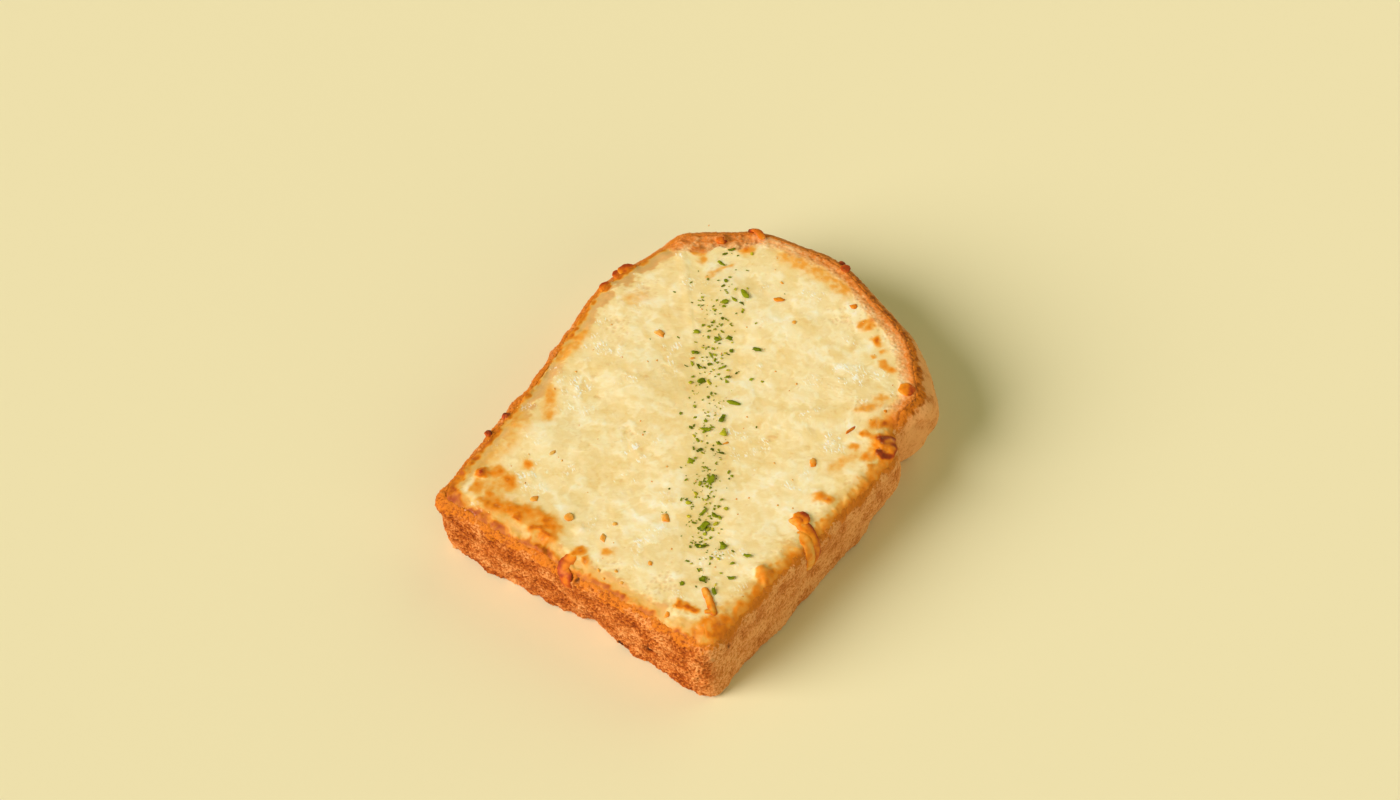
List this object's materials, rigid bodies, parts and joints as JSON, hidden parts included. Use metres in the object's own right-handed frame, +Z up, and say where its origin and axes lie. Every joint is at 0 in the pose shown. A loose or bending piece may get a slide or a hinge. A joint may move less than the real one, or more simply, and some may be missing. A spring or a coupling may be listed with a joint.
{
  "type": "croque monsieur",
  "caption": "Open grilled cheese toast: a thick slice of domed loaf, crust all round, under a sheet of melted, browned cheese with parsley.",
  "frame": {"origin": "on the surface that the toast rests on, under the middle of its bounding box", "axes": "+Z up through the cheese, +Y along the slice towards its domed end, +X towards the side with the notch"},
  "size_m": [0.1115, 0.1467, 0.0284],
  "materials": {
    "toasted_bread": null,
    "melted_cheese": null
  },
  "bodies": {
    "root": {"bread_slice": "toasted_bread", "cheese_topping": "melted_cheese"}
  },
  "joints": []
}
